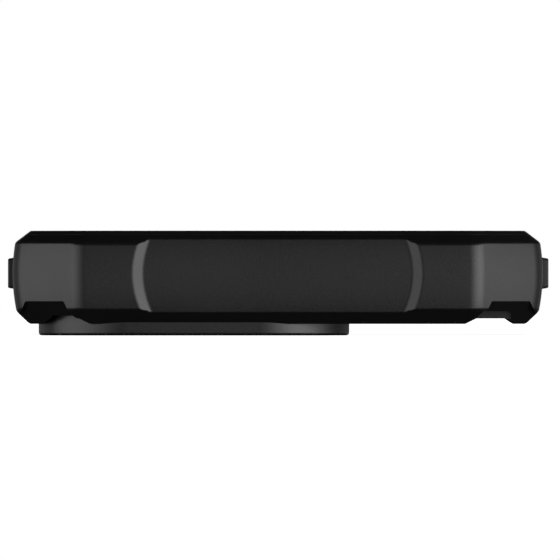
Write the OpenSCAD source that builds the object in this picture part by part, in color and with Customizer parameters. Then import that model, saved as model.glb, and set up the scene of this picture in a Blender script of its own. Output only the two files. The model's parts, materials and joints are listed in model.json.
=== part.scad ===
// Rugged phone case: a hard armour shell over a soft core, with a camera guard, four side
// buttons, an accessory magnet ring, corner dampers, grips and skid pads.
// Millimetres. X runs across the case, Y along it, and Z points up out of the open screen side.
// The end with the camera is at -Y. Z = 0 is the outer face of the camera guard.

/* [Handset] */
// Width of the handset that the pocket holds
phone_w = 71.5; // [71:0.1:72]
// Length of the handset
phone_l = 147.5; // [146:0.1:149]
// Thickness of the handset
phone_t = 7.85; // [7.6:0.05:8.1]
// Corner radius of the handset, seen from above
phone_r = 12; // [11:0.5:13]
// Gap between the handset and the core, on each side
fit_gap = 0.2; // [0.1:0.05:0.3]

/* [Body] */
// Wall beside the pocket at its thickest, armour and core together
wall_t = 4.05; // [3.9:0.05:4.4]
// Thickness of the core's wall
core_wall_t = 1.35; // [1.2:0.05:1.5]
// Leg of the flat cut across each corner, seen from above
facet_leg = 9.7; // [9:0.1:10.5]
// Radius where a corner facet meets the sides
facet_r = 3.2; // [2:0.2:4]
// Height of the camera guard below the feet
guard_h = 1.75; // [1.2:0.05:2]
// Depth of the channels between the feet and bars of the back
channel_d = 0.82; // [0.6:0.02:0.9]
// Thickness of the armour's floor above the channels
floor_t = 1.68; // [1.6:0.02:1.9]
// Thickness of the core's floor
core_floor_t = 1.15; // [1.1:0.05:1.4]
// Thickness of the pocket's soft lining
lining_t = 0.3; // [0.2:0.05:0.4]
// Height of the rim above the handset's glass
rim_h = 2.15; // [1.6:0.05:2.4]
// How far the rim reaches in over the glass
rim_reach = 1.1; // [0.8:0.1:1.3]

/* [Relief bands] */
// Depth of the sunk bands in the ends and the sides
band_d = 0.8; // [0.5:0.1:1]
// Half length of the band in each end, at its lip
end_band_h = 21.84; // [18:0.2:24]
// Where the band in each side starts and stops along Y
side_band_from = -8; // [-12:1:-6]
side_band_to = 58; // [50:1:60]

/* [Camera] */
// Outer size of the camera guard along X and Y
guard_x = 47; // [46:0.5:47.5]
guard_y = 47.2; // [46:0.2:48]
// Outer corner radius of the camera guard
guard_r = 13.5; // [12:0.5:14]
// Width of the guard's ring
guard_wall = 4.05; // [3.8:0.05:4.4]

/* [Buttons] */
// Travel of each button
travel = 0.5; // [0.3:0.05:0.5]
// Height of a button's cap
cap_h = 4.75; // [4.2:0.05:5]
// Length of the power button's cap
power_l = 17; // [15:0.5:19]
// Length of each volume button's cap
volume_l = 10; // [9:0.5:11]
// Length of the action button's cap
action_l = 7; // [6:0.5:8]
// Centre of each button along Y
power_y = -28.5; // [-30:0.5:-27]
volume_up_y = -36; // [-37:0.5:-35.5]
volume_down_y = -22.5; // [-23:0.5:-22]
action_y = -49.5; // [-51:0.5:-49]

/* [Magnets] */
// Number of magnets in the ring
magnet_n = 18; // [12:1:20]
// Outer and inner radius of the magnet ring
magnet_ro = 28; // [27.5:0.1:28.2]
magnet_ri = 23; // [22.5:0.1:23.5]
// Centre of the magnet ring along Y
magnet_y = 1.5; // [1:0.5:4]

/* [Hidden] */

// Levels, from the guard's face up to the rim
z_foot = guard_h;
z_base = z_foot + channel_d;
z_core = z_base + floor_t;
z_lining = z_core + core_floor_t;
z_seat = z_lining + lining_t;
z_lip = z_seat + phone_t + 0.1;
z_top = z_lip + rim_h;
z_seam = z_top - 0.6;
z_mid = z_seat + 3.66;

// Half sizes of the body, the core and the pocket
half_w = phone_w / 2 + fit_gap + wall_t;
half_l = phone_l / 2 + fit_gap + wall_t;
pocket_w = phone_w / 2 + fit_gap;
pocket_l = phone_l / 2 + fit_gap;
pocket_r = phone_r + fit_gap;
core_w = pocket_w + core_wall_t;
core_l = pocket_l + core_wall_t;
core_r = pocket_r + core_wall_t;

// The outer wall bulges: it stands bow_k * dz^2 further in, dz away from mid-height
bow_k = 0.018;
// Heights where the wall turns into its upper and lower chamfer, and how fast each runs inwards
side_hi = z_top - 1.76;
side_lo = z_foot + 1.85;
end_hi = z_top - 1.96;
end_lo = z_foot + 2.15;
facet_hi = z_top - 1.75;
facet_lo = z_foot + 2.12;
side_run_hi = 1.31;
side_run_lo = 1.05;
end_run_hi = 1.13;
end_run_lo = 1.8;

function bow(z) = bow_k * (z - z_mid) * (z - z_mid);
function wall_inset(z, hi, lo, run_hi, run_lo) =
    max(bow(z), bow(hi) + (z - hi) * run_hi, bow(lo) + (lo - z) * run_lo);
function side_inset(z) = wall_inset(z, side_hi, side_lo, side_run_hi, side_run_lo);
function end_inset(z) = wall_inset(z, end_hi, end_lo, end_run_hi, end_run_lo);
function facet_inset(z) = wall_inset(z, facet_hi, facet_lo, side_run_hi, side_run_lo);

// Points on an arc, and on a rectangle with round corners
function arc(cx, cy, r, from, to, n) =
    [for (i = [0 : n]) let (a = from + (to - from) * i / n) [cx + r * cos(a), cy + r * sin(a)]];
function round_rect(hx, hy, r, n = 6) = concat(
    arc(hx - r, hy - r, r, 0, 90, n), arc(r - hx, hy - r, r, 90, 180, n),
    arc(r - hx, r - hy, r, 180, 270, n), arc(hx - r, r - hy, r, 270, 360, n));

// The arc that rounds vertex v of the outline, where the outward normal turns from a to a + 45
function facet_round(v, a) =
    let (mx = cos(a) + cos(a + 45), my = sin(a) + sin(a + 45), k = facet_r / (1 + cos(45)))
    arc(v[0] - mx * k, v[1] - my * k, facet_r, a, a + 45, 4);

// The body's outline at height z: a rectangle with a facet across each corner
function body_outline(z) =
    let (a = half_w - side_inset(z), b = half_l - end_inset(z),
        d = half_w + half_l - facet_leg - sqrt(2) * facet_inset(z))
    concat(facet_round([a, d - a], 0), facet_round([d - b, b], 45),
        facet_round([b - d, b], 90), facet_round([-a, d - a], 135),
        facet_round([-a, a - d], 180), facet_round([b - d, -b], 225),
        facet_round([d - b, -b], 270), facet_round([a, a - d], 315));

// A solid through the body's outline at each height in levels
module body_solid(levels) {
    rings = [for (z = levels) body_outline(z)];
    n = len(rings[0]);
    top = len(levels) - 1;
    polyhedron(
        points = [for (k = [0 : top]) for (p = rings[k]) [p[0], p[1], levels[k]]],
        faces = concat(
            [[for (i = [0 : n - 1]) i]],
            [for (k = [0 : top - 1]) for (i = [0 : n - 1])
                [k * n + i, (k + 1) * n + i, (k + 1) * n + (i + 1) % n, k * n + (i + 1) % n]],
            [[for (i = [n - 1 : -1 : 0]) top * n + i]]));
}

// A flat slab with the outline points, from z0 up to z1
module slab(points, z0, z1) {
    translate([0, 0, z0]) linear_extrude(z1 - z0) polygon(points);
}

// An (x, z) outline extruded along Y, and a (y, z) outline extruded along X
module along_y(points, y0, y1) {
    translate([0, y1, 0]) rotate([90, 0, 0]) linear_extrude(y1 - y0) polygon(points);
}
module along_x(points, x0, x1) {
    translate([x0, 0, 0]) rotate([90, 0, 90]) linear_extrude(x1 - x0) polygon(points);
}

// A copy at each corner of the case, for a shape drawn at the +X +Y corner
module each_corner() {
    for (sx = [0, 1], sy = [0, 1]) mirror([sx, 0, 0]) mirror([0, sy, 0]) children();
}

// ---- Cuts in the armour ------------------------------------------------------------------

// How far the sloped ends of a sunk band run for each millimetre of depth
band_run = 1.97;
far = 3;

// The sunk band in the +Y end: its floor follows the wall's bulge, and its ends slope
module end_band() {
    floor_line = [for (i = [0 : 10]) let (z = z_base + (z_top - z_base) * i / 10)
        [half_l - band_d - bow(z), z]];
    intersection() {
        along_x(concat([[half_l + far, z_base]], floor_line, [[half_l + far, z_top]]), -30, 30);
        slab([[-end_band_h - band_run * far, half_l + far], [end_band_h + band_run * far, half_l + far],
            [end_band_h - band_run * far, half_l - far], [band_run * far - end_band_h, half_l - far]],
            0, z_top + 1);
    }
}

// The sunk band in the +X side
module side_band() {
    floor_line = [for (i = [0 : 10]) let (z = z_base + (z_top - z_base) * i / 10)
        [half_w - band_d - bow(z), z]];
    intersection() {
        along_y(concat([[half_w + far, z_base]], floor_line, [[half_w + far, z_top]]), -40, 80);
        slab([[half_w + far, side_band_from - band_run * far],
            [half_w + far, side_band_to + band_run * far],
            [half_w - far, side_band_to - band_run * far],
            [half_w - far, side_band_from + band_run * far]], 0, z_top + 1);
    }
}

// The back between its raised bars and rails: channels run to the corners, and each rail's
// inner side runs outwards by rail_splay from the -Y end to the +Y end
bar_h = half_w - 11.75;
bar_foot_h = half_w - 10.1;
rail_foot_h = half_w - 5.8;
rail_h = half_w - 4.6;
rail_splay = 0.9;
bar_in = half_l - 12.5;

module channel() {
    near = [[bar_h - 0.6, z_foot - 1], [bar_h, z_foot], [bar_foot_h, z_base], [rail_foot_h, z_base],
        [rail_h, z_foot], [rail_h + 0.6, z_foot - 1]];
    n = len(near);
    polyhedron(
        points = concat([for (p = near) [p[0], -half_l - 1, p[1]]],
            [for (p = near) [p[0] + (p[0] < rail_foot_h ? 0 : rail_splay), half_l + 1, p[1]]]),
        faces = concat([[for (i = [0 : n - 1]) i]], [[for (i = [n - 1 : -1 : 0]) n + i]],
            [for (i = [0 : n - 1]) [i, n + i, n + (i + 1) % n, (i + 1) % n]]));
}

module back_field() {
    for (s = [0, 1]) mirror([s, 0, 0]) channel();
    along_x([[-bar_in, z_foot - 1], [-bar_in, z_foot], [1.2 - bar_in, z_base],
        [bar_in - 1.2, z_base], [bar_in, z_foot], [bar_in, z_foot - 1]],
        3.2 - rail_foot_h, rail_foot_h - 3.2);
}

// The notch under the +X +Y corner facet, where a channel comes out: a mouth with a roof that
// slopes down and inwards from the facet
notch_top = z_foot + 3.41;
notch_roof = z_foot + 1.95;
notch_wall_y = half_l - 9.5;
gate_out = rail_foot_h - 0.15;

module corner_notch() {
    mouth = [[half_w - 2, notch_top], [half_w - 7.74, notch_top], [half_w - 8.35, facet_lo],
        [bar_foot_h, z_base], [bar_h, z_foot], [bar_h - 0.6, z_foot - 1],
        [half_w + 0.2, z_foot - 1], [half_w - 1.4, facet_lo]];
    facet_d = (half_w + half_l - facet_leg) / sqrt(2) - bow(notch_top);
    roof_run = notch_top - z_foot + 1;
    intersection() {
        along_y(mouth, half_l - 20, half_l + 1);
        rotate([0, 0, -45]) along_x([[facet_d + far, notch_top + far],
            [facet_d - roof_run, z_foot - 1], [facet_d + far, z_foot - 1]], -60, 0);
    }
}

// The low space inside three of the notches, which ends at an upright wall
module channel_end() {
    along_y([[half_w - 8.9, notch_roof], [bar_foot_h, z_base - 0.01], [rail_foot_h + 1, z_base - 0.01],
        [rail_foot_h + 1, notch_roof]], notch_wall_y, half_l + 1);
}

// Inside the fourth, at -X -Y, the channel's roof rises to clear the camera guard's side
module guard_gate() {
    gate_z = z_base + 0.43;
    mirror([1, 0, 0]) along_y([[bar_foot_h, z_base - 0.2], [half_w - 9.05, gate_z], [gate_out, gate_z],
        [gate_out, z_base - 0.2]], -half_l - 1, 16 - half_l);
}

// Mirrors in X and in Y that take the +X +Y corner to each corner but the camera guard's
plain_corners = [[0, 1], [1, 0], [0, 0]];

// The camera guard's place
guard_cx = guard_x / 2 - half_w + 3.85;
guard_cy = guard_y / 2 - half_l + 4.05;
guard_seat_z = z_base + 0.63;
spigot_t = 1.2;
opening_hx = guard_x / 2 - guard_wall;
opening_hy = guard_y / 2 - guard_wall;
opening_r = guard_r - guard_wall;

function guard_outline(grow) =
    [for (p = round_rect(guard_x / 2 + grow, guard_y / 2 + grow, guard_r + grow, 8))
        [p[0] + guard_cx, p[1] + guard_cy]];
function opening_outline(grow) =
    [for (p = round_rect(opening_hx + grow, opening_hy + grow, opening_r + grow, 8))
        [p[0] + guard_cx, p[1] + guard_cy]];

// The back panel's seat: the field between the rails, round the guard
panel_h = half_w - 9;
panel_y = half_l - 16;
panel_r = 5;
panel_t = 0.8;
panel_sink = 0.1;

function panel_outline(grow) = round_rect(panel_h + grow, panel_y + grow, panel_r + grow);

// Buttons: +X is a button on the +X side, drawn with its centre at y
cap_z = z_mid + 0.04;
cap_out = 1.0;
cap_gap = 0.15;
flange_t = 0.45;
flange_y = 1.2;
flange_z = 0.9;
plunger = 0.7;
plunger_in = 1.2;
seat_gap = 0.02;

module button_window(y, l) {
    translate([0, y, cap_z]) along_x(round_rect(l / 2 + cap_gap, cap_h / 2 + cap_gap, 0.75, 4),
        core_w - 1, half_w + 1);
}
// In the core: a shallow recess for the flange, and a window for the plunger
module button_recess(y, l) {
    translate([0, y, cap_z]) {
        along_x(round_rect(l / 2 + flange_y + 0.25, cap_h / 2 + flange_z + 0.25, 1, 2),
            core_w - flange_t - travel - 0.05, core_w + 1);
        along_x(round_rect(l / 2 - plunger_in + 0.25, cap_h / 2 - plunger_in + 0.25, 0.8, 2),
            pocket_w - 1, core_w);
    }
}
module button(y, l) {
    face_x = half_w + cap_out;
    flange_x = core_w - seat_gap - flange_t;
    translate([0, y, cap_z]) {
        along_x(round_rect(l / 2, cap_h / 2, 0.6, 4), core_w - seat_gap - 0.1, face_x - 0.35);
        along_x(round_rect(l / 2 - 0.3, cap_h / 2 - 0.3, 0.5, 4), face_x - 0.36, face_x);
        along_x(round_rect(l / 2 + flange_y, cap_h / 2 + flange_z, 1, 2), flange_x, core_w - seat_gap);
        along_x(round_rect(l / 2 - plunger_in, cap_h / 2 - plunger_in, 0.6, 2),
            flange_x - plunger, flange_x + 0.1);
    }
}

// Openings in the +Y end for the charging port and the speaker and microphone slots
port_hx = 6.7;
port_hz = 3.4;
slot_n = 5;
slot_first = 11.4;
slot_pitch = 2;

module end_openings(y0) {
    along_y(round_rect_at(0, cap_z, port_hx, port_hz, 3.3), y0, half_l + 1);
    for (s = [-1, 1], i = [0 : slot_n - 1])
        along_y(round_rect_at(s * (slot_first + i * slot_pitch), cap_z, 0.55, 2, 0.54), y0, half_l + 1);
}
function round_rect_at(x, z, hx, hz, r) =
    [for (p = round_rect(hx, hz, r, 5)) [p[0] + x, p[1] + z]];

// Side grips, in a seat sunk into the floor of each side band
grip_from = side_band_from + 4.5;
grip_to = side_band_to - 4.5;
grip_hz = 3.4;
grip_seat = 0.7;
grip_face = 0.15;
rib_n = 19;

function grip_outline(from, to, hz) =
    [for (p = round_rect((to - from) / 2, hz, 1.6, 4)) [p[0] + (from + to) / 2, p[1] + cap_z]];

// Corner dampers: arcs round the core's corners, drawn at the +X +Y corner
damper_t = 1.05;
damper_z0 = z_seat + 0.6;
damper_z1 = z_lip - 0.9;
damper_sweep = 56;

module damper_at(t, z0, z1, sweep) {
    translate([core_w - core_r, core_l - core_r, z0]) rotate([0, 0, 45 - sweep / 2])
        rotate_extrude(angle = sweep, $fn = 96) translate([core_r, 0]) square([t, z1 - z0]);
}

// Skid pads in the raised bars of the back
pad_t = 0.7;
pad_hy = 2.3;
pad_y = half_l - 8.6;
pad_from = 13.6;
pad_to = 26.6;

function pad_outline(grow) =
    [for (p = round_rect((pad_to - pad_from) / 2 + grow, pad_hy + grow, 1.2, 4))
        [p[0] + (pad_from + pad_to) / 2, p[1] + pad_y]];

// ---- Sub-parts -----------------------------------------------------------------------------

module armor_shell() {
    levels = [z_foot, side_lo, facet_lo, end_lo, z_mid - 4, z_mid - 2, z_mid,
        z_mid + 2, z_mid + 3.5, end_hi, side_hi, z_seam];
    color("#1b1b1c") difference() {
        body_solid(levels);
        slab(round_rect(core_w, core_l, core_r), z_core, z_top + 1);
        back_field();
        each_corner() corner_notch();
        for (place = plain_corners) mirror([place[0], 0, 0]) mirror([0, place[1], 0]) channel_end();
        guard_gate();
        end_band();
        mirror([0, 1, 0]) end_band();
        side_band();
        mirror([1, 0, 0]) side_band();
        slab(guard_outline(0.02), -1, guard_seat_z);
        slab(opening_outline(spigot_t + 0.02), -1, z_core + 1);
        slab(panel_outline(0.05), z_base - 0.5, z_base + panel_sink + panel_t);
        mirror([1, 0, 0]) button_window(power_y, power_l);
        button_window(volume_up_y, volume_l);
        button_window(volume_down_y, volume_l);
        button_window(action_y, action_l);
        end_openings(core_l - 1);
        for (s = [0, 1]) mirror([s, 0, 0])
            along_x(grip_outline(grip_from, grip_to, grip_hz), half_w - band_d - grip_seat, half_w + 1);
        each_corner() damper_at(damper_t + 0.02, damper_z0 - 0.02, damper_z1 + 0.02, damper_sweep + 0.2);
        for (place = plain_corners) mirror([place[0], 0, 0]) mirror([0, place[1], 0])
            slab(pad_outline(0.02), z_foot - 1, z_foot + pad_t);
    }
}

module core_liner() {
    color("#141415") difference() {
        union() {
            slab(round_rect(core_w, core_l, core_r), z_core, z_seam + 0.1);
            body_solid([z_seam, z_top]);
        }
        slab(round_rect(pocket_w, pocket_l, pocket_r), z_lining, z_lip);
        slab(round_rect(pocket_w - rim_reach, pocket_l - rim_reach, pocket_r - rim_reach),
            z_lining, z_top + 1);
        slab(opening_outline(0.3), z_core - 1, z_lining + 1);
        translate([0, magnet_y, z_core - 1]) difference() {
            cylinder(r = carrier_ro + 0.02, h = 1 + carrier_t + cover_t, $fn = 120);
            translate([0, 0, -1]) cylinder(r = carrier_ri - 0.02, h = 5, $fn = 120);
        }
        slab(align_outline(0.02), z_core - 1, z_core + carrier_t);
        mirror([1, 0, 0]) button_recess(power_y, power_l);
        button_recess(volume_up_y, volume_l);
        button_recess(volume_down_y, volume_l);
        button_recess(action_y, action_l);
        end_openings(pocket_l - 1);
    }
}

module camera_guard() {
    color("#161617") difference() {
        union() {
            slab(guard_outline(0), 0.25, guard_seat_z);
            slab(guard_outline(-0.2), 0, 0.3);
            slab(opening_outline(spigot_t), guard_seat_z - 0.1, z_core - 0.02);
        }
        slab(opening_outline(0), -1, z_core + 1);
        slab(opening_outline(0.6), -1, 0.9);
    }
}

module back_panel() {
    z0 = z_base + panel_sink;
    color("#222224") difference() {
        slab(panel_outline(0), z0, z0 + panel_t);
        slab(guard_outline(0.6), z0 - 1, z0 + panel_t + 1);
    }
}

module floor_lining() {
    inset = rim_reach + 0.3;
    color("#3a3b3e") difference() {
        slab(round_rect(pocket_w - inset, pocket_l - inset, pocket_r - inset), z_lining, z_seat);
        slab(opening_outline(0.9), z_lining - 1, z_seat + 1);
    }
}

// The magnet ring lies in the underside of the core's floor
carrier_ro = magnet_ro + 0.8;
carrier_ri = magnet_ri - 0.8;
carrier_t = 0.7;
cover_t = 0.1;
magnet_pitch = 360 / magnet_n;
magnet_sweep = magnet_pitch - 2.4;

module ring(ro, ri, z0, z1) {
    translate([0, magnet_y, z0])
        rotate_extrude($fn = 120) translate([ri, 0]) square([ro - ri, z1 - z0]);
}
module ring_piece(ro, ri, z0, z1, from, sweep) {
    translate([0, magnet_y, z0]) rotate([0, 0, from])
        rotate_extrude(angle = sweep, $fn = 120) translate([ri, 0]) square([ro - ri, z1 - z0]);
}

module magnet_carrier() {
    color("#c8c8c4") difference() {
        ring(carrier_ro, carrier_ri, z_core + 0.02, z_core + carrier_t);
        for (i = [0 : magnet_n - 1])
            ring_piece(magnet_ro + 0.02, magnet_ri - 0.02, z_core - 0.1, z_core + carrier_t + 1,
                i * magnet_pitch - 0.04, magnet_sweep + 0.08);
    }
}

module ring_magnets() {
    color("#b8bbc0") for (i = [0 : magnet_n - 1])
        ring_piece(magnet_ro, magnet_ri, z_core + 0.05, z_core + carrier_t, i * magnet_pitch, magnet_sweep);
}

module magnet_cover() {
    color("#2a2a2c") ring(carrier_ro, carrier_ri, z_core + carrier_t, z_core + carrier_t + cover_t);
}

function align_outline(grow) =
    [for (p = round_rect(2.9 + grow, 10 + grow, 0.8)) [p[0], p[1] + magnet_y + carrier_ro + 13]];

module alignment_magnet() {
    color("#b8bbc0") slab(align_outline(0), z_core + 0.05, z_core + carrier_t - 0.01);
}

// A damper is a hollow-backed pad: air cells open towards the armour
module corner_damper() {
    cell_n = 5;
    cell_sweep = 6.5;
    color("#202023") difference() {
        damper_at(damper_t, damper_z0, damper_z1, damper_sweep);
        for (i = [0 : cell_n - 1]) rotate_about(i * (damper_sweep - 6) / cell_n - damper_sweep / 2 + 7.5)
            translate([core_r + 0.45, 0, damper_z0 + 1]) rotate([0, 0, -cell_sweep / 2])
                translate([0, -0.7, 0]) cube([damper_t, 1.6, damper_z1 - damper_z0 - 2]);
    }
}
module rotate_about(a) {
    translate([core_w - core_r, core_l - core_r, 0]) rotate([0, 0, 45 + a]) children();
}

module side_grip() {
    x0 = half_w - band_d - grip_seat;
    x1 = half_w - band_d - 0.3;
    from = grip_from + 0.02;
    to = grip_to - 0.02;
    pitch = (to - from - 3) / rib_n;
    color("#101011") {
        along_x(grip_outline(from, to, grip_hz - 0.02), x0 + 0.02, x1);
        for (i = [0 : rib_n - 1]) translate([x1 - 0.1, from + 2.1 + i * pitch, cap_z - grip_hz + 0.9])
            cube([0.1 + 0.3 + grip_face, 1.3, 2 * grip_hz - 1.8]);
    }
}

module skid_pad() {
    tread_n = 6;
    pitch = (pad_to - pad_from - 1) / tread_n;
    color("#0e0e0f") difference() {
        slab(pad_outline(0), z_foot + 0.02, z_foot + pad_t);
        for (i = [1 : tread_n - 1])
            translate([pad_from + 0.2 + i * pitch, pad_y - pad_hy - 1, z_foot - 1])
                cube([0.6, 2 * pad_hy + 2, 1.25]);
    }
}

armor_shell();
core_liner();
camera_guard();
back_panel();
floor_lining();
magnet_carrier();
ring_magnets();
magnet_cover();
alignment_magnet();
mirror([1, 0, 0]) mirror([0, 1, 0]) corner_damper();  // corner_damper_top_left
mirror([0, 1, 0]) corner_damper();  // corner_damper_top_right
mirror([1, 0, 0]) corner_damper();  // corner_damper_bottom_left
corner_damper();  // corner_damper_bottom_right
mirror([1, 0, 0]) side_grip();  // side_grip_left
side_grip();  // side_grip_right
mirror([0, 1, 0]) skid_pad();  // skid_pad_top_right
mirror([1, 0, 0]) skid_pad();  // skid_pad_bottom_left
skid_pad();  // skid_pad_bottom_right
color("#1b1b1c") mirror([1, 0, 0]) button(power_y, power_l);  // power_button
color("#1b1b1c") button(volume_up_y, volume_l);  // volume_up_button
color("#1b1b1c") button(volume_down_y, volume_l);  // volume_down_button
color("#1b1b1c") button(action_y, action_l);  // action_button
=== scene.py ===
"""Looks for the rugged phone case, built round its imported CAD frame.

The case lies on its back. X runs across it, Y along it with the camera guard's end at -Y, and Z up.
"""
import json
import math

import bmesh
import bpy
import numpy as np
from mathutils import Matrix, Vector

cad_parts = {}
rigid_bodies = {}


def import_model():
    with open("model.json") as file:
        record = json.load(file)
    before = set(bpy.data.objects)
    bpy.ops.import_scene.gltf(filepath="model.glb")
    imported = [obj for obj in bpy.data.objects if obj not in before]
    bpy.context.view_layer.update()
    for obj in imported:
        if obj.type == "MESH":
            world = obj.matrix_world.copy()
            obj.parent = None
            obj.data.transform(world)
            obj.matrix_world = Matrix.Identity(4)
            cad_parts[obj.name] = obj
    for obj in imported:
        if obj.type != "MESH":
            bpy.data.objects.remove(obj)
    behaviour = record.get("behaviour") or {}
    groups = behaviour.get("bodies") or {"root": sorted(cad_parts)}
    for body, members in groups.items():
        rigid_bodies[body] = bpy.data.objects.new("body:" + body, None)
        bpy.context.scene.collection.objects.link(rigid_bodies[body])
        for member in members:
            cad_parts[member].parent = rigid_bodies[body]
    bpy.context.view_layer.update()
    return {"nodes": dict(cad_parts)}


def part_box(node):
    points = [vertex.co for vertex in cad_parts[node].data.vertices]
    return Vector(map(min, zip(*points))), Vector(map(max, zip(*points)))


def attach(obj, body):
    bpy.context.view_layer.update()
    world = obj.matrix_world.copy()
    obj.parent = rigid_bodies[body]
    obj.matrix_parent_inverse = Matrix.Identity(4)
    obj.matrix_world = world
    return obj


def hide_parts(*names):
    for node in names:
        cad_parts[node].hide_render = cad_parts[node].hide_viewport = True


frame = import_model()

MM = 0.001

# ---- Sizes in millimetres, from the frame --------------------------------------------------


def box_mm(node):
    """Lowest and highest corner of a CAD node, in millimetres."""
    lo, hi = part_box(node)
    return np.array(lo) / MM, np.array(hi) / MM


def middle_mm(node):
    """Centre and half size of a CAD node, in millimetres."""
    lo, hi = box_mm(node)
    return (lo + hi) / 2, (hi - lo) / 2


ARMOR_LO, ARMOR_HI = box_mm("armor_shell")
CORE_LO, CORE_HI = box_mm("core_liner")
PANEL_LO, PANEL_HI = box_mm("back_panel")
LINING_LO, LINING_HI = box_mm("floor_lining")
GRIPS = ("side_grip_left", "side_grip_right")
PADS = ("skid_pad_top_right", "skid_pad_bottom_left", "skid_pad_bottom_right")

# Half width and half length of the body, and the levels of the armour, the core and the lining
HALF_W, HALF_L = ARMOR_HI[0], ARMOR_HI[1]
Z_FOOT, Z_SEAM = ARMOR_LO[2], ARMOR_HI[2]
Z_CORE, Z_TOP = CORE_LO[2], CORE_HI[2]
Z_LINING, Z_SEAT = LINING_LO[2], LINING_HI[2]

# Levels of the back's sunk face, the glass under the rim, the wall's widest line and the buttons
PANEL_SUNK, GLASS_H, BULGE_H, BUTTON_RISE = 0.1, 7.95, 3.66, 0.04
Z_BASE = PANEL_LO[2] - PANEL_SUNK
Z_LIP = Z_SEAT + GLASS_H
Z_MID = Z_SEAT + BULGE_H
CAP_Z = Z_MID + BUTTON_RISE

# The pocket with its lining, the core round it, and the rim over the glass
RIM_REACH = 1.1
LINING_GAP = 0.3
POCKET_W = LINING_HI[0] + RIM_REACH + LINING_GAP
POCKET_L = LINING_HI[1] + RIM_REACH + LINING_GAP
POCKET_R = 12.2
LINING_R = POCKET_R - RIM_REACH - LINING_GAP
CORE_WALL = 1.35
CORE_W, CORE_L, CORE_R = POCKET_W + CORE_WALL, POCKET_L + CORE_WALL, POCKET_R + CORE_WALL

# The bulging wall, with its chamfers above "hi" and below "lo", which go in by "run" for each mm of
# height, and the facets across the corners
BOW = 0.018
SIDE = {"hi": Z_TOP - 1.76, "lo": Z_FOOT + 1.85, "run_hi": 1.31, "run_lo": 1.05}
END = {"hi": Z_TOP - 1.96, "lo": Z_FOOT + 2.15, "run_hi": 1.13, "run_lo": 1.8}
FACET = {"hi": Z_TOP - 1.75, "lo": Z_FOOT + 2.12, "run_hi": 1.31, "run_lo": 1.05}
FACET_DEG = 45
FACET_LEG = 9.7
FACET_R = {"end": 3.2, "side": 4.5}

# The sunk band of each wall. Its ends slope along the wall by "run" for each mm of depth
SIDE_BAND = {"from": -8.0, "to": 58.0, "depth": 0.8, "run": 1.97}
END_BAND = {"from": -21.84, "to": 21.84, "depth": 0.69, "run": 2.2}

# How far the changes between wall, chamfers and bands are rounded
EDGE_SOFT = 0.3
BAND_SOFT = 0.1
SEAM_BREAK = 0.03
FOOT_SOFT = {"height": 0.25, "inset": 0.2}

# The back: rails along the sides, bars across the ends, channels between them, and notches at the
# corners where the channels come out
BAR_H, BAR_FOOT = HALF_W - 11.75, HALF_W - 10.1
RAIL_FOOT, RAIL_H = HALF_W - 5.8, HALF_W - 4.6
RAIL_SPLAY = 0.9
BAR_IN, BAR_SLOPE = HALF_L - 12.5, 1.2
Z_NOTCH, Z_DEEP, Z_GATE = Z_FOOT + 3.41, Z_FOOT + 1.95, Z_BASE + 0.43

# The camera guard: its outline, its wall, the level of its shoulder, and its spigot
GUARD_C, GUARD_H = middle_mm("camera_guard")
GUARD_R = 13.5
GUARD_WALL = 4.05
GUARD_SEAT_Z = Z_BASE + 0.63
SPIGOT_T = 1.2

# Holes round the guard: the panel's outside it, and the core's and the lining's outside its bore
PANEL_HOLE, CAMERA_HOLE, LINING_HOLE = 0.6, 0.3, 0.9

# Corner radii of the inlaid pieces, and the gaps round them and round the guard
PANEL_R, GRIP_R, PAD_R = 5, 1.6, 1.2
GUARD_GAP, SPIGOT_GAP, PANEL_GAP, INLAY_GAP = 0.08, 0.03, 0.08, 0.06

# Buttons: each with the body it rides on and the sign of its side
BUTTONS = {
    "power_button": ("power", -1),
    "volume_up_button": ("volume_up", 1),
    "volume_down_button": ("volume_down", 1),
    "action_button": ("action", 1),
}
CAP_H = 4.75
CAP_EDGE = 0.22
FLANGE = {"y": 1.2, "z": 0.9, "thick": 0.45}
PLUNGER_IN = 1.2
WINDOW = {"grow": 0.15, "corner": 0.75}
SURROUND = {"grow": 0.62, "corner": 1.2, "depth": 0.32}

# The port, the step round it and a sound slot: half width, half height and corner radius
PORT, PORT_STEP, SLOT = (6.7, 3.4, 3.3), (7.6, 4.25, 4.1), (0.55, 2.0, 0.54)
PORT_STEP_DEPTH = 0.45
SLOT_COUNT, SLOT_FIRST, SLOT_PITCH = 5, 11.4, 2

# A cutter goes PAST the surface it cuts, and keeps SKIM off a face that it would otherwise share
PAST = 1
SKIM = 0.004

# ---- Outlines ------------------------------------------------------------------------------


def round_rect(hx, hy, r, n, centre=(0.0, 0.0)):
    """A rectangle with round corners, counter-clockwise from its +X side."""
    points = []
    for quarter, (sx, sy) in enumerate(((1, 1), (-1, 1), (-1, -1), (1, -1))):
        for i in range(n + 1):
            a = math.radians(90 * quarter + 90 * i / n)
            x = sx * (hx - r) + r * math.cos(a)
            y = sy * (hy - r) + r * math.sin(a)
            points.append((centre[0] + x, centre[1] + y))
    return points


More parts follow.
